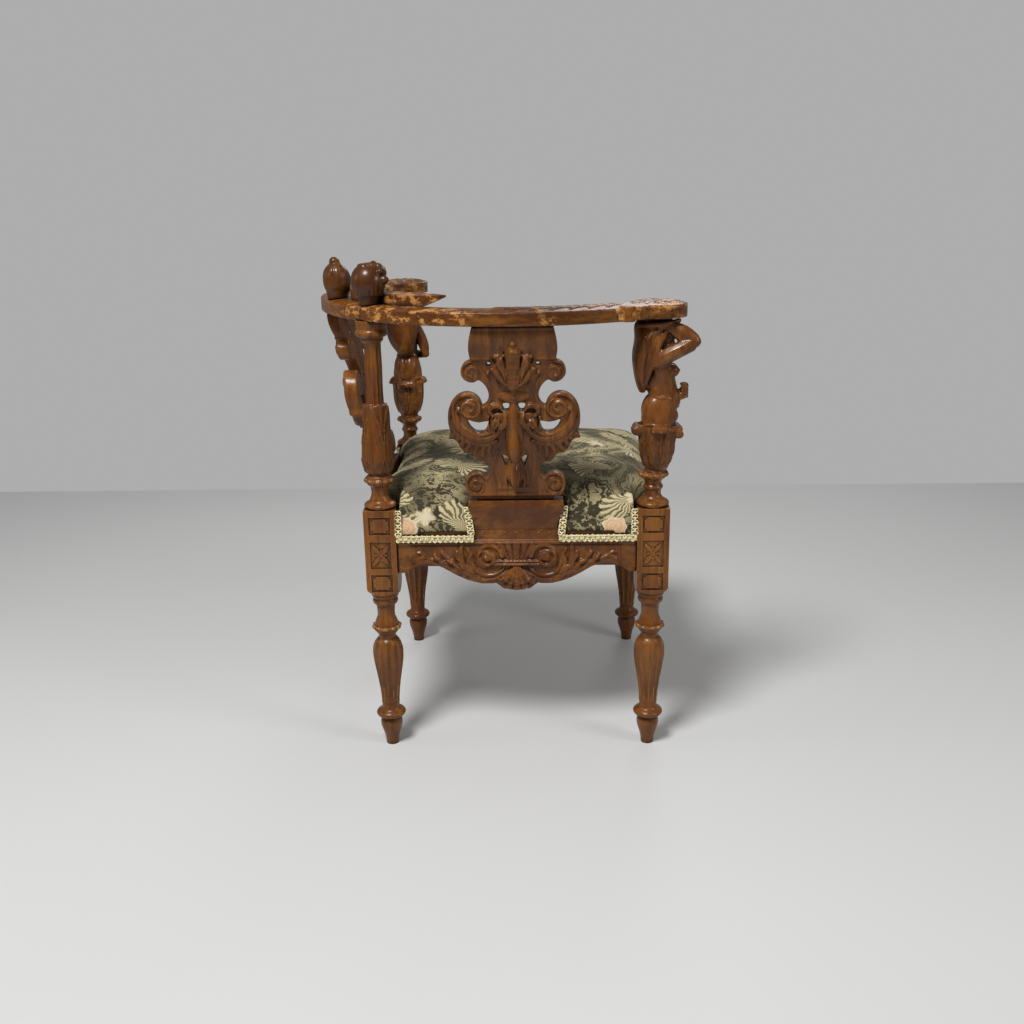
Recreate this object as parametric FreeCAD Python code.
# Corner chair in carved and turned walnut, with a tapestry seat set square on its corner.
# Millimetres, +Z up, origin on the floor under the middle of the seat.
# The back post stands on +Y, the left and right posts on -X and +X, the front corner on -Y.
# Pieces are drawn with the seat's sides along X and Y and the back post at (-half, -half),
# and are turned about Z at the end.
import FreeCAD, Part
import os
from math import cos, pi, radians, sin, sqrt

V = FreeCAD.Vector
UP = V(0, 0, 1)
CENTRE = V(0, 0, 0)

# Plan of the seat
leg_spacing = 440.0
plan_turn = 225.0

# Clearances
wood_gap = 0.2
cloth_gap = 1.0

# Leg blocks, the square parts of the posts
block_width = 51.5
block_bottom = 278.0
block_top = 426.0
block_shoulder = 16.0
panel_depth = 2.4
tablet_rise = 1.6

# Turned legs, heights from the floor
foot_radius = 10.8
foot_bulb_radius = 18.5
foot_bulb_height = 38.0
foot_ring_radius = 24.8
foot_ring_height = 59.0
ankle_radius = 14.6
vase_foot_height = 79.0

# Turned legs, drops from the underside of the block
vase_belly_radius = 25.8
vase_belly_drop = 105.0
vase_top_drop = 80.0
bead_ring_radius = 21.6
bead_ring_drop = 60.0
leg_neck_radius = 14.5
leg_neck_drop = 32.0
flute_count = 12
flute_depth = 2.6
bead_count = 12
bead_radius = 3.6
bead_stand = 1.6

# Seat rails, whose lower faces are carved aprons
apron_thickness = 25.0
apron_setback = 5.2
apron_top = 373.0
rail_top = 392.0
tack_rebate = 2.0
arch_height = 333.0
volute_foot = 300.0
shell_foot = 287.5
apron_end_height = 318.0
relief = 3.0
tenon_thickness = 10.0
tenon_length = 15.0
tenon_shoulder = 9.0
scroll_radius = 15.5
scroll_place = 52.0
scroll_rise = 9.0
band_half = 40.0
band_height = 6.0
moulding_height = 4.4
moulding_depth = 1.4
end_flat = 12.0

# Upper posts
tenon_radius = 9.0
post_tenon_length = 18.0
head_tenon_length = 9.0
cap_radius = 24.4
capital_radius = 21.0
capital_height = 16.0
shaft_radius = 14.5
lobe_count = 8
lobe_rise = 2.2

# Arm rail
rail_inner_radius = 275.0
rail_outer_radius = 332.0
rail_underside = 727.0
rail_thickness = 20.0
rail_crown = 4.0
disc_radius = 46.0
knob_radius = 11.0
knob_angle = 30.5
joint_dowel_radius = 4.0
joint_dowel_length = 50.0
head_dowel_depth = 9.0
head_dowel_length = 23.0
joint_dowel_inset = 10.0

# Crest
crest_outer_radius = 299.0
crest_inner_radius = 266.0
crest_tip_radius = 282.0
crest_half_angle = 24.4
crest_under_angle = 15.0
crest_thickness = 20.0
head_radius_from_centre = 312.0
centre_head_width = 54.0
centre_head_height = 66.0
side_head_angle = -23.0
side_head_width = 45.0
side_head_height = 58.0
knot_radius = 8.0
screw_radius = 2.0
screw_head_radius = 4.0
screw_depth = 14.0
screw_head_height = 3.0
crest_screw_angle = 10.0
tip_thickness = 3.0
neck_sink = 1.0
curl_radius = 6.8
nose_radius = 4.0
side_nose_radius = 3.6
seat_clearance = 0.05

# Splats and the shoes that they stand on
splat_thickness = 20.0
shoe_height = 51.0
shoe_foot_half = 66.0
shoe_head_half = 76.5
shoe_bevel = 9.0
shoe_lean = 1.5
splat_foot_half = 71.5
splat_neck_height = 7.0
splat_neck_half = 60.5
splat_neck_setback = 3.0
splat_tenon_depth = 11.0
splat_tenon_half = 50.0
splat_tenon_front = 6.0
splat_tenon_back = 15.0
splat_tenon_slack = 1.0
splat_head_half = 40.0
splat_head_front = 4.5
splat_head_thickness = 10.0
splat_top_tenon = 8.0
volute_eye_rise = 3.0
carving_overlap = 4.0

# Seat
web_width = 50.0
web_thickness = 1.5
web_count = 5
web_bearing = 8.0
hessian_thickness = 1.0
cushion_crown = 476.0
cushion_overhang = 25.0
cushion_shoulder = 0.42
cushion_skirt = 21.0
corner_round = 38.0
gimp_width = 9.0
gimp_thickness = 2.6
brace_leg = 62.0
brace_height = 26.0
brace_drop = 4.0
brace_screw_place = 44.0
brace_screw_inset = 14.0
brace_screw_length = 26.0
brad_radius = 1.3
brad_count = 7
brad_pitch = 18.0
brad_drop = 6.0
pin_radius = 0.6
pin_length = 6.0

half = leg_spacing / 2
block_half = block_width / 2
apron_face = block_half - apron_setback
apron_mid = apron_face - apron_thickness / 2
shoe_back = apron_face - apron_thickness + web_bearing + wood_gap
rail_seat = rail_underside + rail_thickness
seat_floor = rail_top + 2 * web_thickness + hessian_thickness
shoe_top = rail_top + shoe_height
splat_foot = shoe_top + splat_neck_height
rail_middle = (rail_inner_radius + rail_outer_radius) / 2
far = 2 * leg_spacing


# Small tools for making shapes

def curve(points, closed=False):
    """An edge through points: a straight line for two of them, a smooth curve for more."""
    if len(points) == 2:
        return Part.LineSegment(points[0], points[1]).toShape()
    line = Part.BSplineCurve()
    line.interpolate(Points=points, PeriodicFlag=closed)
    return line.toShape()


def outline(runs, lift=0.0):
    """A flat face in XY from smooth runs of (x, y) points, each starting where the last one ends."""
    edges = [curve([V(x, y, lift) for x, y in run]) for run in runs]
    return Part.Face(Part.Wire(edges))


def mirrored_runs(runs):
    """Runs from the top middle to the bottom middle, followed by the same on the other side."""
    other = [[(-x, y) for x, y in reversed(run)] for run in reversed(runs)]
    return runs + other


def turned(runs):
    """A solid of revolution about Z from smooth runs of (radius, height), from one end to the other."""
    start = runs[0][0]
    end = runs[-1][-1]
    edges = [curve([V(r, 0, z) for r, z in run]) for run in runs]
    if end[0] > 0:
        edges.append(curve([V(end[0], 0, end[1]), V(0, 0, end[1])]))
    edges.append(curve([V(0, 0, end[1]), V(0, 0, start[1])]))
    if start[0] > 0:
        edges.append(curve([V(0, 0, start[1]), V(start[0], 0, start[1])]))
    return Part.Face(Part.Wire(edges)).revolve(CENTRE, UP, 360)


def scalloped(stations, count):
    """A lofted shaft whose sections are rings of arcs: stations are (height, radius, hollow)."""
    wires = []
    for z, r, hollow in stations:
        edges = []
        for k in range(count):
            a, b, c = [2 * pi * (k + t) / count for t in (0, 0.5, 1)]
            m = r - hollow
            ends = [V(r * cos(t), r * sin(t), z) for t in (a, c)]
            edges.append(Part.Arc(ends[0], V(m * cos(b), m * sin(b), z), ends[1]).toShape())
        wires.append(Part.Wire(edges))
    return Part.makeLoft(wires, True, False)


def oval_loft(stations):
    """A lofted body of ovals: stations are (height, middle x, middle y, half x, half y)."""
    wires = []
    for z, x, y, a, b in stations:
        ring = [V(x + a * cos(2 * pi * k / 12), y + b * sin(2 * pi * k / 12), z) for k in range(12)]
        wires.append(Part.Wire([curve(ring, True)]))
    return Part.makeLoft(wires, True, False)


def egg(x, y, z, radius, half_height):
    """An egg-shaped solid standing on its end."""
    steps = [radians(-90 + 22.5 * k) for k in range(9)]
    run = [(max(radius * cos(t), 0.0), half_height * sin(t)) for t in steps]
    run[0] = (0, -half_height)
    run[-1] = (0, half_height)
    shape = turned([run])
    shape.translate(V(x, y, z))
    return shape


def lens(length, width, rise):
    """A pointed leaf lying in XY from the origin along +X, rise thick."""
    tip = V(length, 0, 0)
    sides = [Part.Arc(CENTRE, V(length * 0.45, width / 2, 0), tip).toShape(),
             Part.Arc(tip, V(length * 0.45, -width / 2, 0), CENTRE).toShape()]
    return Part.Face(Part.Wire(sides)).extrude(UP * rise)


def on_front(shape, x, depth, z, angle=0.0):
    """A shape drawn in XY with +Z towards the viewer, stood up to face -Y at a place."""
    copy = placed(shape, angle)
    copy.rotate(CENTRE, V(1, 0, 0), 90)
    copy.translate(V(x, depth, z))
    return copy


def roundel(radius, rise):
    """A round boss with a sunk ring and an eye, standing in XY from below Z = 0."""
    return turned([
        [(radius, -2), (radius, rise - 1)],
        [(radius, rise - 1), (radius - 1.2, rise)],
        [(radius - 1.2, rise), (radius * 0.72, rise)],
        [(radius * 0.72, rise), (radius * 0.60, rise - 1.6), (radius * 0.45, rise - 0.4)],
        [(radius * 0.45, rise - 0.4), (radius * 0.25, rise + 1.0), (0, rise + 1.4)],
    ])


def limb(joints):
    """Tapered lengths between balls: joints are (x, y, z, radius)."""
    balls = [Part.makeSphere(r, V(x, y, z)) for x, y, z, r in joints]
    for a, b in zip(joints[:-1], joints[1:]):
        start = V(*a[:3])
        span = V(*b[:3]) - start
        balls.append(Part.makeCone(a[3], b[3], span.Length, start, span))
    return balls


def joined(pieces):
    """One solid from pieces that overlap."""
    return pieces[0].multiFuse(pieces[1:])


def box(x0, x1, y0, y1, z0, z1):
    return Part.makeBox(x1 - x0, y1 - y0, z1 - z0, V(x0, y0, z0))


def placed(shape, angle=0.0, x=0.0, y=0.0, z=0.0):
    """A copy turned about Z and then moved."""
    copy = shape.copy()
    copy.rotate(CENTRE, UP, angle)
    copy.translate(V(x, y, z))
    return copy


def in_chair(shape):
    """A piece drawn on the seat's own sides, turned to the chair's axes."""
    return placed(shape, plan_turn)


def other_side(shape):
    """The same piece for the right side of the chair."""
    return shape.mirror(CENTRE, V(1, 0, 0))


def beads(radius, height):
    """A band of beads carved round a turned ring."""
    rise = bead_radius - 0.8
    return scalloped([
        (height - bead_radius, radius - bead_radius, -0.3),
        (height - bead_radius * 0.6, radius - 1.0, -rise * 0.75),
        (height, radius, -rise),
        (height + bead_radius * 0.6, radius - 1.0, -rise * 0.75),
        (height + bead_radius, radius - bead_radius, -0.3),
    ], bead_count)


# Legs with their blocks

def sunk_panel(width, low, high, carve):
    """A sunk panel on the block's -Y face, as what is cut away; carve is what stays standing in it."""
    cut = box(-width / 2, width / 2, -block_half - 1, -block_half + panel_depth, low, high)
    return cut.cut(carve)


def tablet(width, low, high):
    """A raised field with notched corners."""
    notch = 4.5
    margin = 3.2
    x = width / 2 - margin
    bottom = low + margin
    top = high - margin
    back = -block_half + panel_depth
    front = back - tablet_rise
    field = box(-x, x, front, back + 0.5, bottom, top)
    for sx in (-x, x):
        for z in (bottom, top):
            field = field.cut(Part.makeCylinder(notch, 8, V(sx, front - 2, z), V(0, 1, 0)))
    return field


def rosette(middle):
    """A flower of four long petals, four short ones and a boss, standing in a sunk panel."""
    back = -block_half + panel_depth
    parts = [Part.makeSphere(4.2, V(0, back, middle))]
    for angle in (52, 128, 232, 308):
        parts.append(on_front(lens(21, 6.5, 2.6), 0, back + 0.8, middle, angle))
    for angle in (0, 90, 180, 270):
        parts.append(on_front(lens(12, 4.0, 2.0), 0, back + 0.8, middle, angle))
    return parts[0].multiFuse(parts[1:])


def seat_form(gap, top):
    """The frame's outside above the carved aprons, where the cover is tacked, with round corners."""
    reach = half + apron_face - tack_rebate + gap
    ring = rounded_square(reach, corner_round - cushion_skirt + apron_face - tack_rebate + gap, 0.05, 0.0)
    return Part.Face(ring).extrude(V(0, 0, top))


def carved_block(top):
    """The square part of a post, with its lower corners turned off to a round shoulder."""
    body = box(-block_half, block_half, -block_half, block_half, block_bottom, top)
    corner = block_half * sqrt(2)
    shoulder = turned([
        [(leg_neck_radius + 8, block_bottom), (corner - 6, block_bottom + block_shoulder * 0.4),
         (corner + 1, block_bottom + block_shoulder)],
        [(corner + 1, block_bottom + block_shoulder), (corner + 1, top)],
    ])
    body = body.common(shoulder)
    middle = (block_bottom + block_top) / 2
    flower_low = middle - 24
    flower_high = middle + 21
    cuts = [
        sunk_panel(35, flower_high + 13, block_top - 11, tablet(35, flower_high + 13, block_top - 11)),
        sunk_panel(34, flower_low, flower_high, rosette((flower_low + flower_high) / 2)),
        sunk_panel(35, block_bottom + 10, flower_low - 11, tablet(35, block_bottom + 10, flower_low - 11)),
    ]
    if top < block_top:
        cuts = cuts[1:]
    for cut in cuts:
        body = body.cut(cut)
        body = body.cut(placed(cut, -90))
    return body


def mortise():
    """The slot for a seat rail's tenon, on the block's +X side."""
    y0 = -apron_mid - tenon_thickness / 2 - wood_gap
    y1 = -apron_mid + tenon_thickness / 2 + wood_gap
    z0 = apron_end_height + tenon_shoulder - wood_gap
    z1 = rail_top - tenon_shoulder + wood_gap
    return box(block_half - tenon_length - wood_gap, block_half + 1, y0, y1, z0, z1)


def leg(top):
    """One leg and its block, at the origin, with mortises towards +X and +Y."""
    belly = block_bottom - vase_belly_drop
    vase_top = block_bottom - vase_top_drop
    ring = block_bottom - bead_ring_drop
    neck = block_bottom - leg_neck_drop
    foot = turned([
        [(foot_radius - 0.6, 0), (foot_radius, 1.5)],
        [(foot_radius, 1.5), (foot_radius + 0.4, 9), (foot_bulb_radius - 4, foot_bulb_height - 15),
         (foot_bulb_radius, foot_bulb_height), (ankle_radius + 0.8, foot_ring_height - 8)],
        [(ankle_radius + 0.8, foot_ring_height - 8), (foot_ring_radius - 5, foot_ring_height - 6.5)],
        [(foot_ring_radius - 5, foot_ring_height - 6.5), (foot_ring_radius, foot_ring_height),
         (foot_ring_radius - 5, foot_ring_height + 6)],
        [(foot_ring_radius - 5, foot_ring_height + 6), (ankle_radius + 1, foot_ring_height + 10),
         (ankle_radius, vase_foot_height - 4), (ankle_radius + 0.6, vase_foot_height)],
    ])
    waist = ankle_radius + 0.2
    rise = belly - vase_foot_height
    vase = scalloped([
        (vase_foot_height, waist, 0.15),
        (vase_foot_height + rise * 0.06, waist + 0.6, flute_depth * 0.7),
        (vase_foot_height + rise * 0.30, waist + (vase_belly_radius - waist) * 0.24, flute_depth),
        (vase_foot_height + rise * 0.62, waist + (vase_belly_radius - waist) * 0.66, flute_depth),
        (belly, vase_belly_radius, flute_depth),
        (belly + (vase_top - belly) * 0.45, vase_belly_radius - 1.6, flute_depth * 0.6),
        (belly + (vase_top - belly) * 0.85, vase_belly_radius - 7.0, 0.12),
        (vase_top, ankle_radius + 0.4, 0.1),
    ], flute_count)
    upper = turned([
        [(ankle_radius, vase_top), (ankle_radius - 0.4, vase_top + 3), (ankle_radius + 2, ring - 11)],
        [(ankle_radius + 2, ring - 11), (bead_ring_radius - 3, ring - 8)],
        [(bead_ring_radius - 3, ring - 8), (bead_ring_radius - bead_stand, ring),
         (bead_ring_radius - 3, ring + 8)],
        [(bead_ring_radius - 3, ring + 8), (bead_ring_radius - 4, ring + 12),
         (leg_neck_radius + 0.6, ring + 18), (leg_neck_radius, neck), (leg_neck_radius + 0.8, neck + 11)],
        [(leg_neck_radius + 0.8, neck + 11), (leg_neck_radius + 4.5, neck + 14)],
        [(leg_neck_radius + 4.5, neck + 14), (leg_neck_radius + 6.5, neck + 19),
         (leg_neck_radius + 5, neck + 24)],
        [(leg_neck_radius + 5, neck + 24), (leg_neck_radius + 8, block_bottom - 3)],
        [(leg_neck_radius + 8, block_bottom - 3), (leg_neck_radius + 8, block_bottom)],
    ])
    body = joined([foot, vase, upper, carved_block(top), beads(bead_ring_radius, ring)])
    slot = mortise()
    other = slot.mirror(CENTRE, V(1, -1, 0))
    body = body.cut(slot).cut(other)
    if top > rail_top:
        socket = Part.makeCylinder(tenon_radius + wood_gap, post_tenon_length + wood_gap + 1,
                                   V(0, 0, block_top - post_tenon_length - wood_gap))
        return body.cut(socket)
    waste = box(-block_width, block_width, -block_width, block_width, apron_top, top + 1)
    return body.cut(waste.cut(placed(seat_form(0.0, top + 2), 0, half, half)))


# Upper posts, drawn at the origin with the block's top at their foot

def post_tenons(foot_height, head_height):
    low = Part.makeCylinder(tenon_radius, post_tenon_length, V(0, 0, foot_height - post_tenon_length))
    high = Part.makeCylinder(tenon_radius, head_tenon_length, V(0, 0, head_height))
    return [low, high]


def baluster():
    """The back post: a bulbous lobed vase under a fluted shaft and a round cap."""
    z0 = block_top
    z1 = rail_underside

    def up(t):
        return z0 + (z1 - z0) * t / 301.0

    base = turned([
        [(24.5, z0), (26.4, z0 + 4), (24.0, z0 + 8)],
        [(24.0, z0 + 8), (21.5, z0 + 9)],
        [(21.5, z0 + 9), (17.5, z0 + 12), (16.0, z0 + 16)],
        [(16.0, z0 + 16), (13.9, z0 + 22), (13.7, z0 + 27), (15.4, z0 + 36)],
        [(15.4, z0 + 36), (19.6, z0 + 39)],
        [(19.6, z0 + 39), (bead_ring_radius - bead_stand, z0 + 46), (19.6, z0 + 53)],
        [(19.6, z0 + 53), (17.0, up(55))],
    ])
    vase = scalloped([
        (up(55), 15.5, -0.6),
        (up(62), 19.5, -lobe_rise * 0.7),
        (up(80), 23.4, -lobe_rise),
        (up(105), 21.6, -lobe_rise),
        (up(135), 18.6, -lobe_rise),
        (up(160), 17.4, -lobe_rise),
        (up(169), 17.6, -lobe_rise * 0.8),
    ], lobe_count)
    shaft = scalloped([
        (up(160), shaft_radius, 0.15),
        (up(172), shaft_radius + 0.4, flute_depth * 0.8),
        (up(210), shaft_radius + 0.2, flute_depth),
        (z1 - 50, shaft_radius, flute_depth),
        (z1 - 38, shaft_radius - 0.2, flute_depth * 0.6),
        (z1 - 33, shaft_radius, 0.15),
    ], flute_count)
    cap = turned([
        [(shaft_radius, z1 - 34), (17.9, z1 - 30), (17.0, z1 - 27)],
        [(17.0, z1 - 27), (20.0, z1 - 26)],
        [(20.0, z1 - 26), (25.6, z1 - 21), (24.4, z1 - 16)],
        [(24.4, z1 - 16), (23.0, z1 - 14)],
        [(23.0, z1 - 14), (cap_radius - 0.2, z1 - 7), (cap_radius, z1)],
    ])
    ring = beads(bead_ring_radius, z0 + 46)
    return joined([base, vase, shaft, cap, ring] + post_tenons(z0, z1))


def caryatid():
    """The left figure, facing +X: a leafy term below the hips, a bare torso with one arm raised
    over the head, the other bent to the waist, and a mantle that falls from the head down the back."""
    z1 = rail_underside

    def up(t):
        return block_top + (z1 - block_top) * t / 301.0

    base = turned([
        [(25.0, block_top), (26.5, up(4)), (24.5, up(8))],
        [(24.5, up(8)), (17.5, up(12)), (13.6, up(17)), (13.0, up(22))],
        [(13.0, up(22)), (13.6, up(27))],
        [(13.6, up(27)), (16.2, up(31)), (13.8, up(35))],
        [(13.8, up(35)), (13.6, up(40)), (16.5, up(44))],
        [(16.5, up(44)), (bead_ring_radius - 1.8, up(47))],
        [(bead_ring_radius - 1.8, up(47)), (bead_ring_radius - bead_stand, up(52)), (19.0, up(57))],
        [(19.0, up(57)), (15.5, up(58))],
    ])
    term = scalloped([
        (up(57), 15.0, -0.5),
        (up(66), 18.5, -1.6),
        (up(80), 22.5, -lobe_rise),
        (up(98), 25.0, -lobe_rise),
        (up(116), 25.5, -lobe_rise),
        (up(130), 27.0, -lobe_rise),
    ], lobe_count)
    term.translate(V(4.5, 0, 0))
    body = oval_loft([
        (up(118), 4.5, 0, 24, 25.5),
        (up(130), 5, 0, 25.5, 27),
        (up(144), 5.5, 0, 26.5, 28),
        (up(164), 10.5, 0, 24.5, 23.5),
        (up(182), 15.5, 0, 20.5, 19.5),
        (up(196), 13, 0, 19.5, 20.5),
        (up(214), 8.5, 0, 20, 24),
        (up(230), 5, 0, 17, 26),
        (up(241), 1, 0, 12, 20),
        (up(248), -1, 0, 8.5, 10),
    ])
    parts = [base, term, body]
    for x in (-28, 35):
        parts.append(Part.makeCylinder(6.6, 30, V(x, -15, up(126)), V(0, 1, 0)))
    for y in (-29, 29):
        parts.append(Part.makeCylinder(6.2, 24, V(-7, y, up(129)), V(1, 0, 0)))
    for y in (-9.5, 9.5):
        parts.append(Part.makeSphere(9, V(21.5, y, up(215))))
    head_z = up(268)
    parts.append(Part.makeCylinder(8.6, 26, V(-1, 0, up(240))))
    parts.append(egg(0, 0, head_z, 16.5, 22))
    parts.append(Part.makeCylinder(capital_radius, capital_height, V(-8, 0, z1 - capital_height)))
    parts += limb([(0, -23, up(232), 9), (50, -27, up(257), 7.6), (14, -20, up(289), 6.4),
                   (-10, -13, up(291), 6)])
    parts += limb([(1, 21, up(229), 9.5), (7, 37, up(180), 7), (40, 15, up(172), 5.5),
                   (43, 5, up(177), 6.5)])
    mantle = oval_loft([
        (up(184), -21, -4, 4, 8),
        (up(200), -23, -5, 8.5, 20),
        (up(222), -26, -6, 10, 27),
        (up(250), -23, -5, 14, 30),
        (up(278), -17, -4, 18, 27),
        (z1 - capital_height, -13, -2, 22, 23),
        (z1 - 5, -10, -1, 15, 14),
    ])
    parts.append(mantle)
    parts.append(beads(bead_ring_radius, up(52)))
    solid = joined(parts + post_tenons(block_top, z1))
    tenon_space = Part.makeCylinder(tenon_radius, 2 * rail_thickness, V(0, 0, z1 - rail_thickness))
    roof = box(-half, half, -half, half, z1, z1 + rail_thickness).cut(tenon_space)
    return solid.cut(roof)


# Seat rails

def apron():
    """The rail between the back and left posts, its lower edge cut to a double curve with a shell."""
    length = half - block_half - wood_gap
    end = apron_end_height
    runs = mirrored_runs([
        [(0, rail_top), (length, rail_top)],
        [(length, rail_top), (length, end)],
        [(length, end), (length - end_flat, end)],
        [(length - end_flat, end), (length - 22, end + 8), (length - 38, arch_height - 1),
         (length - 60, arch_height - 1), (length - 88, end), (82, volute_foot + 6),
         (56, volute_foot - 1), (34, volute_foot)],
        [(34, volute_foot), (27, shell_foot + 7)],
        [(27, shell_foot + 7), (21, shell_foot + 2.5), (15, shell_foot + 2.5)],
        [(15, shell_foot + 2.5), (9, shell_foot), (3, shell_foot + 0.6)],
        [(3, shell_foot + 0.6), (0, shell_foot + 0.6)],
    ])
    board = outline(runs).extrude(V(0, 0, apron_thickness))
    board.rotate(CENTRE, V(1, 0, 0), 90)
    outer = -half - apron_face
    board.translate(V(0, outer + apron_thickness, 0))
    ledge = box(-length - 1, length + 1, outer - 1, outer + tack_rebate, apron_top, rail_top + 1)
    board = board.cut(ledge)
    raised = []
    raised.append(box(-length, length, outer - moulding_depth, outer + 1,
                      apron_top - 0.6 - moulding_height, apron_top - 0.6))
    for sx in (-1, 1):
        scroll = roundel(scroll_radius, relief)
        raised.append(on_front(scroll, sx * scroll_place, outer, arch_height + scroll_rise))
        for k in range(4):
            stem = lens(26 - 3 * k, 8.5 - k, relief)
            angle = 30 - 12 * k if sx > 0 else 150 + 12 * k
            reach = scroll_place + 12 + 19 * k
            raised.append(on_front(stem, sx * reach, outer + 1, arch_height - 15 + 9 * k, angle))
    raised.append(box(-band_half, band_half, outer - relief * 0.8, outer + 1,
                      arch_height - 2, arch_height - 2 + band_height))
    for k in range(-3, 4):
        lobe = Part.makeCone(2.0, 4.6, 32, V(0, 0, 0), V(sin(radians(17 * k)), 0, -cos(radians(17 * k))))
        lobe.translate(V(0, outer, arch_height - 2))
        raised.append(lobe)
    board = joined([board] + raised)
    low = end + tenon_shoulder
    high = rail_top - tenon_shoulder
    mid = -half - apron_mid
    reach = half - block_half + tenon_length
    tenon = box(-reach, reach, mid - tenon_thickness / 2, mid + tenon_thickness / 2, low, high)
    return board.fuse(tenon).removeSplitter()


# Shoes and splats on the two back sides, drawn on the side between the back and left posts

def shoe():
    """A stout foot on the rail, flared towards the top and leaning outwards, slotted for the splat."""
    low = rail_top
    high = shoe_top
    front = outline(mirrored_runs([
        [(0, high), (shoe_head_half - 1.5, high)],
        [(shoe_head_half - 1.5, high), (shoe_head_half, high - shoe_bevel)],
        [(shoe_head_half, high - shoe_bevel), (shoe_head_half - 4, high - 22), (shoe_foot_half + 1, low + 12),
         (shoe_foot_half, low)],
        [(shoe_foot_half, low), (0, low)],
    ]))
    wide = front.extrude(V(0, 0, far))
    wide.rotate(CENTRE, V(1, 0, 0), 90)
    side = Part.Face(Part.makePolygon([
        V(0, -half - shoe_back, low), V(0, -half - apron_face + tack_rebate, low),
        V(0, -half - splat_face(high) - 2 * shoe_lean, high - shoe_bevel),
        V(0, -half - splat_face(high) - shoe_lean, high),
        V(0, -half - shoe_back, high), V(0, -half - shoe_back, low)]))
    profile = side.extrude(V(far, 0, 0))
    profile.translate(V(-far / 2, 0, 0))
    slot = curved_slab(splat_tenon_front - wood_gap, splat_tenon_back + wood_gap, splat_tenon_half + wood_gap,
                       high - splat_tenon_depth - splat_tenon_slack, high + splat_neck_height)
    return wide.common(profile).cut(slot)


def level(t):
    """A height on the splat, from its foot at 0 to the arm rail at 277, whatever room there is."""
    return splat_foot + (rail_underside - splat_foot) * t / 277.0


# Side profile of the splat: heights as above, and how far the outer face stands out from the posts
splat_stations = [(level(t), n) for t, n in (
    (-25, 26.0), (1, 30.0), (35, 35.0), (67, 43.6), (90, 54.5), (111, 62.0), (137, 67.0),
    (165, 69.5), (193, 77.5), (223, 83.5), (233, 88.0), (251, 95.5), (277, 96.5))]


def splat_face(z):
    """How far the splat's outer face stands out from the line of the posts, at a height."""
    for (z0, n0), (z1, n1) in zip(splat_stations[:-1], splat_stations[1:]):
        if z <= z1:
            return n0 + (n1 - n0) * (z - z0) / (z1 - z0)
    return splat_stations[-1][1]


def to_levels(runs, side=1):
    """Runs of (x, height on the splat) at their real heights, on one side or the other."""
    return [[(side * x, level(t)) for x, t in run] for run in runs]


def prism_to_back(face):
    """A flat face in XY stood up over X and Z, as a bar that runs outwards from the posts."""
    bar = face.extrude(V(0, 0, half))
    bar.rotate(CENTRE, V(1, 0, 0), 90)
    bar.translate(V(0, -half, 0))
    return bar


def raised_disc(x, t, radius, rise):
    """A round boss that stands out of the splat's curved face."""
    z = level(t)
    bar = Part.makeCylinder(radius, half, V(x, -half, z), V(0, -1, 0))
    return bar.common(curved_slab(-rise, carving_overlap, shoe_head_half * 2, z - radius - 4, z + radius + 4))


def curved_slab(inner, outer, width, low, high):
    """A board bent to the splat's side profile, between two depths behind its outer face."""
    levels = [low] + [z for z, n in splat_stations if low + 4 < z < high - 4] + [high]
    front = [V(0, -half - splat_face(z) + inner, z) for z in levels]
    back = [V(0, -half - splat_face(z) + outer, z) for z in levels]
    ends = [Part.LineSegment(front[-1], back[-1]).toShape(), Part.LineSegment(back[0], front[0]).toShape()]
    face = Part.Face(Part.Wire([curve(front), ends[0], curve(back[::-1]), ends[1]]))
    slab = face.extrude(V(2 * width, 0, 0))
    slab.translate(V(-width, 0, 0))
    return slab


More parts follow.
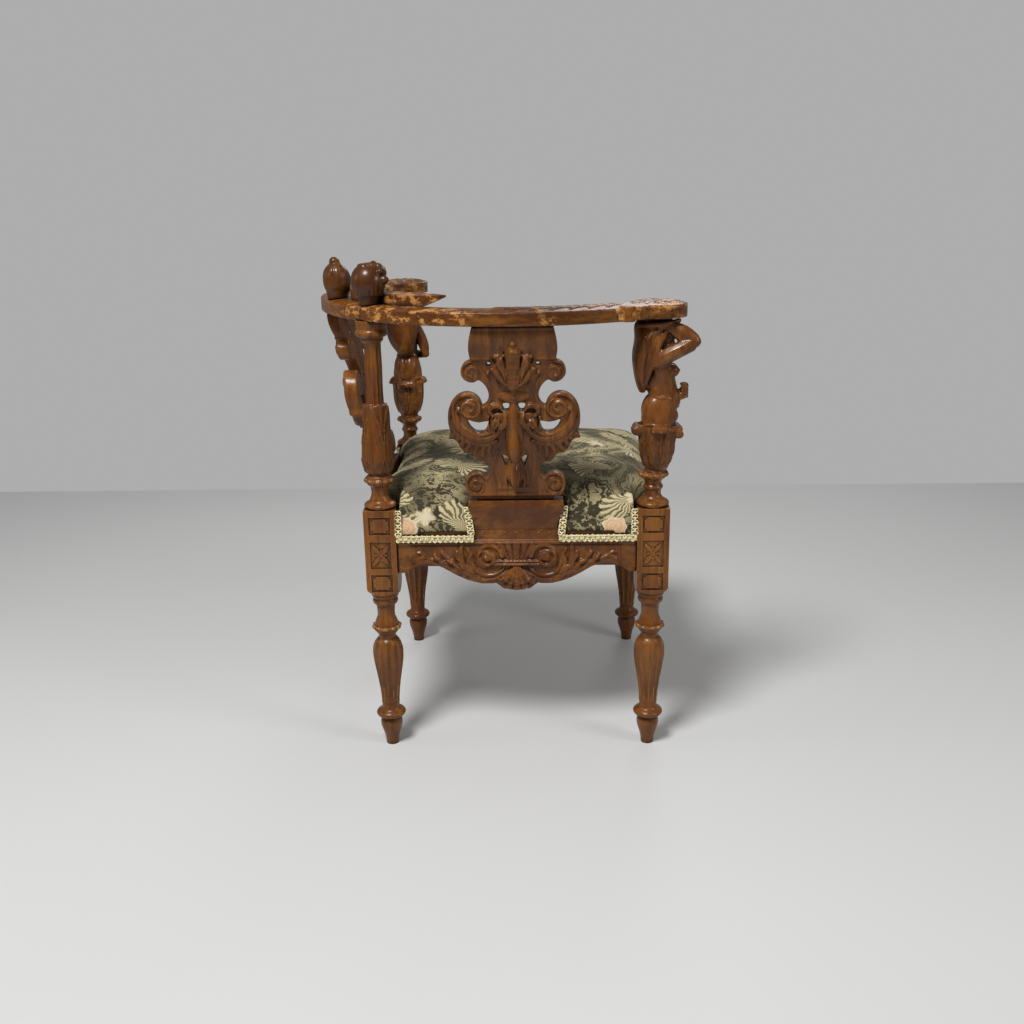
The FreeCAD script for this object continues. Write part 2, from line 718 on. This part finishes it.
def splat():
    """The pierced board: a rolled cap, two pairs of scrolls, and a scrolled foot."""
    side = mirrored_runs(to_levels([
        [(0, 277), (59.5, 277)],
        [(59.5, 277), (62.5, 265), (65.4, 248), (64.2, 230)],
        [(64.2, 230), (64.0, 224.2)],
        [(64.0, 224.2), (74.5, 218.5), (78.6, 207.5), (73.5, 195.6), (61.7, 190.7), (52.8, 195)],
        [(52.8, 195), (43.0, 186.5), (37.6, 171.6), (40.8, 158.5), (49.1, 152.5)],
        [(49.1, 152.5), (54, 166), (70.5, 174.4), (88, 167), (98.5, 150), (100.5, 133), (97.5, 112)],
        [(97.5, 112), (101.2, 101)],
        [(101.2, 101), (92, 99.5), (86, 90)],
        [(86, 90), (77.6, 74.6)],
        [(77.6, 74.6), (68, 74), (60, 63)],
        [(60, 63), (54.5, 60.3)],
        [(54.5, 60.3), (44.0, 57), (39.0, 48), (41.0, 39), (47.0, 32)],
        [(47.0, 32), (53, 39.4), (62.5, 41), (74.5, 35.5), (79.2, 22.5), (76.5, 8.5), (splat_foot_half, 0)],
        [(splat_foot_half, 0), (0, 0)],
    ]))
    board = outline(side)
    for sx in (-1, 1):
        for runs in (
            [[(5.5, 157.5), (19, 157.5)], [(19, 157.5), (15.5, 146)], [(15.5, 146), (8, 146.5)],
             [(8, 146.5), (5.5, 157.5)]],
            [[(37, 132), (55, 127.5), (71, 133)], [(71, 133), (64, 116), (51, 109.6), (42.5, 116)],
             [(42.5, 116), (37, 132)]],
            [[(23, 77), (9.6, 66)], [(9.6, 66), (13.4, 50.5)], [(13.4, 50.5), (23, 77)]],
            [[(31, 221.5), (41.5, 222)], [(41.5, 222), (37, 214.5)], [(37, 214.5), (31, 221.5)]],
        ):
            board = board.cut(outline(to_levels(runs, sx)))
    wide = shoe_head_half * 2
    slab = curved_slab(0, splat_thickness, wide, splat_foot - 2, rail_underside + 2)
    body = prism_to_back(board).common(slab)
    raised = []
    for sx in (-1, 1):
        for x, t, radius in ((65, 150, 15), (61.9, 205.5, 10.5), (62.5, 20.5, 10)):
            raised.append(raised_disc(sx * x, t, radius, volute_eye_rise))
        raised.append(raised_disc(sx * 22.5, 130, 13.5, 2 * volute_eye_rise))
    shell = outline(mirrored_runs(to_levels([[(0, 240), (7, 238), (20, 227), (34, 212)],
                                             [(34, 212), (18, 190), (0, 176)]])))
    raised.append(prism_to_back(shell).common(
        curved_slab(-carving_overlap, carving_overlap, wide, level(170), level(250))))
    pear = oval_loft([(level(63), 0, 0, 5, 5), (level(80), 0, 0, 10, 9), (level(110), 0, 0, 7, 7),
                      (level(156), 0, 0, 3.5, 4)])
    pear.translate(V(0, -half - splat_face(level(105)), 0))
    raised.append(pear)
    raised.append(egg(0, -half - splat_face(level(38)), level(38), 8, 22))
    body = joined([body] + raised)
    foot_tenon = curved_slab(splat_tenon_front, splat_tenon_back, splat_tenon_half,
                             shoe_top - splat_tenon_depth, splat_foot + 1)
    neck = curved_slab(splat_neck_setback, splat_thickness - splat_neck_setback, splat_neck_half,
                       shoe_top, splat_foot + 1)
    return joined([body, neck, foot_tenon, splat_head(0.0)])


def splat_head(gap):
    """The tongue on the splat's head that goes up into the arm rail, or its slot."""
    side = splat_head_half + gap
    front = half + splat_stations[-1][1] - splat_head_front + gap
    back = front - splat_head_thickness - 2 * gap
    return box(-side, side, -front, -back, rail_underside - 2, rail_underside + splat_top_tenon + gap)


# Arm rail in two halves that meet over the back post

def arm_rail():
    """The left half: a flat bow ending in a round disc over the left post, with a scroll before it."""
    z0 = rail_underside
    z1 = rail_seat
    crown = Part.Arc(V(rail_outer_radius, 0, z1), V(rail_middle, 0, z1 + rail_crown),
                     V(rail_inner_radius, 0, z1))
    section = Part.Face(Part.Wire([
        curve([V(rail_inner_radius, 0, z0), V(rail_outer_radius, 0, z0)]),
        curve([V(rail_outer_radius, 0, z0), V(rail_outer_radius, 0, z1)]),
        crown.toShape(),
        curve([V(rail_inner_radius, 0, z1), V(rail_inner_radius, 0, z0)]),
    ]))
    bow = section.revolve(CENTRE, UP, 90)
    bow.rotate(CENTRE, UP, plan_turn)
    disc = turned([
        [(disc_radius, z0), (disc_radius, z1 - 1)],
        [(disc_radius, z1 - 1), (disc_radius - 2.5, z1 + 1.2)],
        [(disc_radius - 2.5, z1 + 1.2), (disc_radius / 2, z1 + rail_crown * 0.8), (1, z1 + rail_crown)],
    ])
    disc.translate(V(half, -half, 0))
    angle = radians(plan_turn + 90 - knob_angle / 2 + 1)
    reach = rail_outer_radius + 1.0
    knob = Part.makeCylinder(knob_radius, rail_thickness + 3, V(reach * cos(angle), reach * sin(angle), z0))
    rail = joined([bow, disc, knob])
    socket = Part.makeCylinder(tenon_radius + wood_gap, head_tenon_length + wood_gap, V(0, 0, z0))
    rail = rail.cut(placed(socket, 0, half, -half))
    rail = rail.cut(placed(socket, 0, -half, -half))
    rail = rail.cut(splat_head(wood_gap))
    for hole in joint_dowels(wood_gap):
        rail = rail.cut(hole)
    for hole in crest_screws(wood_gap):
        rail = rail.cut(hole)
    return rail.cut(head_dowel(wood_gap, 0.0))


def joint_dowels(gap=0.0):
    """Two dowels that cross the joint between the halves of the arm rail."""
    angle = radians(plan_turn)
    along = V(-sin(angle), cos(angle), 0)
    rods = []
    for r in (rail_inner_radius + joint_dowel_inset, rail_outer_radius - joint_dowel_inset):
        z = rail_underside + 0.7 * rail_thickness
        length = joint_dowel_length + 2 * gap
        start = V(r * cos(angle), r * sin(angle), z) - along * (length / 2)
        rods.append(Part.makeCylinder(joint_dowel_radius + gap, length, start, along))
    return rods


# Crest: a crescent board on the back of the rail, with two carved heads beside it

def polar(radius, degrees_from_back):
    angle = radians(plan_turn + degrees_from_back)
    return radius * cos(angle), radius * sin(angle)


def crest():
    low = rail_seat
    high = rail_seat + crest_thickness
    shoulder = crest_half_angle * 0.72
    outer = [polar(crest_tip_radius, -crest_half_angle), polar(crest_outer_radius - 3, -shoulder),
             polar(crest_outer_radius, 0), polar(crest_outer_radius - 3, shoulder),
             polar(crest_tip_radius, crest_half_angle)]
    inner = [polar(crest_tip_radius, crest_half_angle), polar(crest_inner_radius + 2, shoulder),
             polar(crest_inner_radius, 0), polar(crest_inner_radius + 2, -shoulder),
             polar(crest_tip_radius, -crest_half_angle)]
    board = outline([outer, inner], low).extrude(V(0, 0, high - low))
    for side in (-1, 1):
        x0, y0 = polar(crest_tip_radius, side * crest_half_angle)
        x1, y1 = polar(crest_tip_radius, side * crest_under_angle)
        tip = V(x0, y0, high - tip_thickness)
        heel = V(x1, y1, low)
        down = V(x0, y0, rail_underside)
        run = tip - heel
        across = V(x0, y0, 0).normalize() * crest_outer_radius / 4
        wedge = Part.Face(Part.makePolygon([tip + run * 0.2 - across, heel - across, down - across,
                                            tip + run * 0.2 - across])).extrude(across * 2)
        board = board.cut(wedge)
    board = board.cut(crown_form(seat_clearance))
    for head in (centre_head(wood_gap), side_head(wood_gap)):
        board = board.cut(head)
    for screw in crest_screws(wood_gap):
        board = board.cut(screw)
    return board


def crown_form(gap):
    """The crowned top of the arm rail, as a ring that what sits on it is cut to."""
    z1 = rail_seat
    corners = [V(rail_inner_radius, 0, z1 + gap), V(rail_inner_radius, 0, rail_underside),
               V(rail_outer_radius, 0, rail_underside), V(rail_outer_radius, 0, z1 + gap)]
    top = Part.Arc(corners[3], V(rail_middle, 0, z1 + rail_crown + gap), corners[0])
    sides = [curve([a, b]) for a, b in zip(corners[:-1], corners[1:])]
    face = Part.Face(Part.Wire([top.toShape()] + sides))
    return face.revolve(CENTRE, UP, 360)


def centre_head(gap=0.0):
    """A round child's head looking to the front, with curls about its brow and a short neck."""
    x, y = polar(head_radius_from_centre, 0)
    z = rail_seat
    w = centre_head_width / 2
    h = centre_head_height
    middle = z + h - w * 1.03
    parts = [egg(0, 0, middle, w + gap, w * 1.03 + gap)]
    parts.append(Part.makeCone(w * 0.52 + gap, w * 0.82 + gap, h - w, V(0, 0, z - neck_sink)))
    for k in range(-3, 4):
        a = radians(28 * k)
        place = V(w * 0.42, w * 0.94 * sin(a), middle + w * 0.86 * cos(a))
        parts.append(Part.makeSphere(curl_radius + gap, place))
    parts.append(Part.makeSphere(nose_radius + gap, V(w * 0.96, 0, middle - 4)))
    head = joined(parts)
    head.rotate(CENTRE, UP, plan_turn + 180)
    head.translate(V(x, y, 0))
    return head.cut(crown_form(seat_clearance))


def side_head(gap=0.0):
    """A narrower head on a collar, with its hair drawn up into a knot."""
    x, y = polar(head_radius_from_centre - 2, side_head_angle)
    z = rail_seat
    w = side_head_width / 2
    h = side_head_height
    middle = z + h - w * 1.2
    parts = [egg(0, 0, middle, w + gap, w * 1.2 + gap)]
    parts.append(Part.makeCone(w * 0.7 + gap, w * 0.92 + gap, h - w * 1.3, V(0, 0, z - neck_sink)))
    parts.append(Part.makeSphere(knot_radius + gap, V(-3, 0, z + h + 3)))
    parts.append(Part.makeSphere(side_nose_radius + gap, V(w * 0.96, 0, middle - 3)))
    head = joined(parts)
    head.rotate(CENTRE, UP, plan_turn + side_head_angle + 180)
    head.translate(V(x, y, 0))
    return head.cut(crown_form(seat_clearance))


def head_dowel(gap, angle):
    """A dowel from the rail up into a head."""
    x, y = polar(head_radius_from_centre, angle)
    return Part.makeCylinder(joint_dowel_radius + gap, head_dowel_length + 2 * gap,
                             V(x, y, rail_seat - head_dowel_depth - gap))


def crest_screws(gap=0.0):
    """Screws driven up through the rail into the crest."""
    screws = []
    for angle in (-crest_screw_angle, crest_screw_angle):
        x, y = polar((rail_inner_radius + crest_outer_radius) / 2, angle)
        head = Part.makeCone(screw_head_radius + gap, screw_radius + gap, screw_head_height,
                             V(x, y, rail_underside))
        shank = Part.makeCylinder(screw_radius + gap, rail_thickness + screw_depth + gap,
                                  V(x, y, rail_underside))
        screws.append(head.fuse(shank).removeSplitter())
    return screws


# Seat: braces, webbing, hessian, cushion and braid

def corner_braces():
    """Glued and screwed blocks in the corners of the frame, inside the rails."""
    inside = half + apron_face - apron_thickness - wood_gap
    low = rail_top - brace_drop - brace_height
    keep_out = half - block_half - wood_gap
    wedge = Part.Face(Part.makePolygon([
        V(-inside, -inside, low), V(-inside + brace_leg, -inside, low), V(-inside, -inside + brace_leg, low),
        V(-inside, -inside, low)])).extrude(V(0, 0, brace_height))
    wedge = wedge.cut(box(-inside, -keep_out, -inside, -keep_out, low - 1, rail_top))
    for hole in brace_screws_in_corner(wood_gap):
        wedge = wedge.cut(hole)
    return [placed(wedge, 90 * k) for k in range(4)]


def brace_screws_in_corner(gap=0.0):
    """Two screws through a brace into the two rails."""
    inside = half + apron_face - apron_thickness
    z = rail_top - brace_drop - brace_height / 2
    screws = []
    for flip in (False, True):
        start = V(-inside + brace_screw_place, -inside + brace_screw_inset, z)
        shank = Part.makeCylinder(screw_radius + gap, brace_screw_length + gap, start, V(0, -1, 0))
        head = Part.makeCone(screw_head_radius + gap, screw_radius + gap, screw_head_height,
                             start, V(0, -1, 0))
        screw = head.fuse(shank).removeSplitter()
        if flip:
            screw = screw.mirror(CENTRE, V(1, -1, 0))
        screws.append(screw)
    return screws


def webbing():
    """Straps across the frame in two crossing layers, tacked on the rails."""
    reach = half + apron_face - apron_thickness + web_bearing
    pitch = 2 * (half - block_half) / web_count
    straps = []
    for k in range(web_count):
        mid = (k - (web_count - 1) / 2) * pitch
        low = box(mid - web_width / 2, mid + web_width / 2, -reach, reach, rail_top, rail_top + web_thickness)
        straps.append(low)
        turned_low = placed(low, 90)
        turned_low.translate(V(0, 0, web_thickness))
        straps.append(turned_low)
    return straps


def hessian():
    """The sheet over the webbing that carries the stuffing."""
    sheet = seat_form(-3.0, seat_floor).cut(seat_form(1.0, rail_top + 2 * web_thickness))
    return sheet.cut(joined_keep_outs(cloth_gap))


def joined_keep_outs(gap):
    """Space for the three tall posts and the two shoes, with room around them."""
    size = block_half + gap
    spaces = []
    for x, y in ((-half, -half), (half, -half), (-half, half)):
        reach = size + cushion_overhang
        spaces.append(box(x - (reach if x < 0 else size), x + (reach if x > 0 else size),
                          y - (reach if y < 0 else size), y + (reach if y > 0 else size), 0, cushion_crown))
    wide = shoe_head_half + gap
    back = half + shoe_back - gap
    prism = box(-wide, wide, -back - half, -back, 0, cushion_crown + shoe_height)
    spaces.append(prism)
    spaces.append(prism.mirror(CENTRE, V(1, -1, 0)))
    return spaces[0].multiFuse(spaces[1:])


def rounded_square(reach, radius, dip, z):
    """A square ring with round corners and sides that draw in by dip at their middles."""
    edges = []
    k = reach - radius
    corner = radius * (1 - 1 / sqrt(2))
    for side in range(4):
        turn = side * 90
        line = Part.Arc(V(-k, -reach, z), V(0, -reach + dip, z), V(k, -reach, z)).toShape()
        bend = Part.Arc(V(k, -reach, z), V(reach - corner, -reach + corner, z), V(reach, -k, z)).toShape()
        edges.append(placed(line, turn))
        edges.append(placed(bend, turn))
    return Part.Wire(edges)


def cushion():
    """The stuffed seat: a domed top, sides drawn in between the corners, and a skirt over the rails."""
    skirt = half + cushion_skirt
    proud = half + cushion_overhang
    rise = cushion_crown - rail_top
    shoulder = rail_top + rise * cushion_shoulder
    sides = Part.makeLoft([
        rounded_square(skirt, corner_round, 0.6, apron_top),
        rounded_square(skirt + 1.4, corner_round, 0.8, apron_top + 10),
        rounded_square(proud - 0.8, corner_round, 1.6, rail_top + rise * 0.10),
        rounded_square(proud, corner_round, 3.0, rail_top + rise * cushion_shoulder / 2),
        rounded_square(proud - 3, corner_round, 4.0, shoulder),
    ], True, False)
    rings = []
    for k in range(6):
        tilt = radians(15 * k)
        reach = (proud - 3) * cos(tilt)
        height = shoulder + (cushion_crown - shoulder) * sin(tilt) / sin(radians(75))
        rings.append(rounded_square(reach, corner_round * cos(tilt), 4.0 * cos(tilt), height))
    dome = Part.makeLoft(rings, True, False)
    body = sides.fuse(dome)
    body = body.cut(seat_form(0.3, seat_floor + 0.2))
    body = body.cut(joined_keep_outs(cloth_gap))
    front = block_half + 0.4
    return body.cut(box(half - 60, half + front, half - 60, half + front, 0, apron_top))


def gimp():
    """The braid along the foot of the cushion on all four sides, stopping at posts and shoes."""
    inner = half + cushion_skirt + 1.8
    outer = inner + gimp_thickness
    low = apron_top + 0.3
    stop = half - block_half - cloth_gap
    shoe_stop = shoe_foot_half + 3.0
    lengths = []
    back_a = box(-stop, -shoe_stop, -outer, -inner, low, low + gimp_width)
    back_b = box(shoe_stop, stop, -outer, -inner, low, low + gimp_width)
    for strip in (back_a, back_b):
        lengths.append(strip)
        lengths.append(strip.mirror(CENTRE, V(1, -1, 0)))
    bend = corner_round
    outer_ring = Part.Face(rounded_square(outer, bend + gimp_thickness, 0.1, low))
    inner_ring = Part.Face(rounded_square(inner, bend, 0.1, low))
    band = outer_ring.extrude(UP * gimp_width).cut(inner_ring.extrude(UP * gimp_width))
    half_band = band.common(box(-stop, outer + 1, half - 90, outer + 1, low - 1, low + 40))
    other_band = band.common(box(half - 90, outer + 1, -stop, outer + 1, low - 1, low + 40))
    lengths.append(half_band.fuse(other_band).removeSplitter())
    return lengths


def brads():
    """Small pins that hold the cover's edge beside each shoe."""
    pins = []
    face = -half - apron_face + tack_rebate
    for k in range(brad_count):
        start = V((k - (brad_count - 1) / 2) * brad_pitch, face - pin_radius, rail_top - brad_drop)
        shank = Part.makeCylinder(pin_radius, pin_length, start, V(0, 1, 0))
        pin = Part.makeSphere(brad_radius, start).fuse(shank)
        pins.append(pin)
        pins.append(pin.mirror(CENTRE, V(1, -1, 0)))
    return pins


# Making and saving

def save(name, shapes):
    """Write one node: a list of separate solids or one solid."""
    solids = []
    for shape in shapes if isinstance(shapes, list) else [shapes]:
        solids.extend(shape.Solids)
    for solid in solids:
        if not solid.isValid():
            print("not valid:", name)
    Part.makeCompound(solids).exportStep("parts/" + name + ".step")
    print(name, len(solids), "solids", round(sum(s.Volume for s in solids) / 1000, 1), "cm3")


def main():
    os.makedirs("parts", exist_ok=True)
    tall = leg(block_top)
    short = leg(rail_top)
    corners = {"back": (0, -half, -half), "left": (90, half, -half), "right": (-90, -half, half)}
    for name, (angle, x, y) in corners.items():
        save("leg_" + name, in_chair(placed(tall, angle, x, y)))
    save("leg_front", in_chair(placed(short, 180, half, half)))

    save("baluster_back", in_chair(placed(baluster(), 0, -half, -half)))
    figure = in_chair(placed(caryatid(), 0, half, -half))
    save("caryatid_left", figure)
    save("caryatid_right", other_side(figure))

    bare_rail = apron()
    pilots = brace_screws_in_corner(wood_gap)
    pilots += [placed(screw, 90) for screw in pilots]
    for screw in pilots:
        bare_rail = bare_rail.cut(screw)
    pinned_rail = bare_rail
    for pin in brads()[::2]:
        pinned_rail = pinned_rail.cut(pin)
    rails = {"back_left": pinned_rail, "front_left": bare_rail,
             "front_right": bare_rail, "back_right": pinned_rail}
    for k, (name, rail) in enumerate(rails.items()):
        save("apron_" + name, in_chair(placed(rail, 90 * k)))

    foot = shoe()
    board = splat()
    foot = in_chair(foot)
    board = in_chair(board)
    save("splat_shoe_left", foot)
    save("splat_shoe_right", other_side(foot))
    save("splat_left", board)
    save("splat_right", other_side(board))

    bow = in_chair(arm_rail())
    save("arm_rail_left", bow)
    save("arm_rail_right", other_side(bow).cut(in_chair(head_dowel(wood_gap, side_head_angle))))
    save("arm_joint_dowels", [in_chair(rod) for rod in joint_dowels()])
    save("crest_rail", in_chair(crest()))
    save("crest_screws", [in_chair(screw) for screw in crest_screws()])
    heads = {"centre": (centre_head(), 0.0), "side": (side_head(), side_head_angle)}
    for name, (head, angle) in heads.items():
        save("crest_head_" + name, in_chair(head.cut(head_dowel(wood_gap, angle))))
    save("head_dowels", [in_chair(head_dowel(0.0, angle)) for head, angle in heads.values()])

    save("corner_braces", [in_chair(brace) for brace in corner_braces()])
    screws = brace_screws_in_corner()
    save("brace_screws", [in_chair(placed(screw, 90 * k)) for screw in screws for k in range(4)])
    save("seat_webbing", [in_chair(strap) for strap in webbing()])
    save("seat_hessian", in_chair(hessian()))
    save("seat_cushion", in_chair(cushion()))
    save("gimp_braid", [in_chair(strip) for strip in gimp()])
    save("cover_brads", [in_chair(pin) for pin in brads()])


if __name__ == "__main__":
    main()
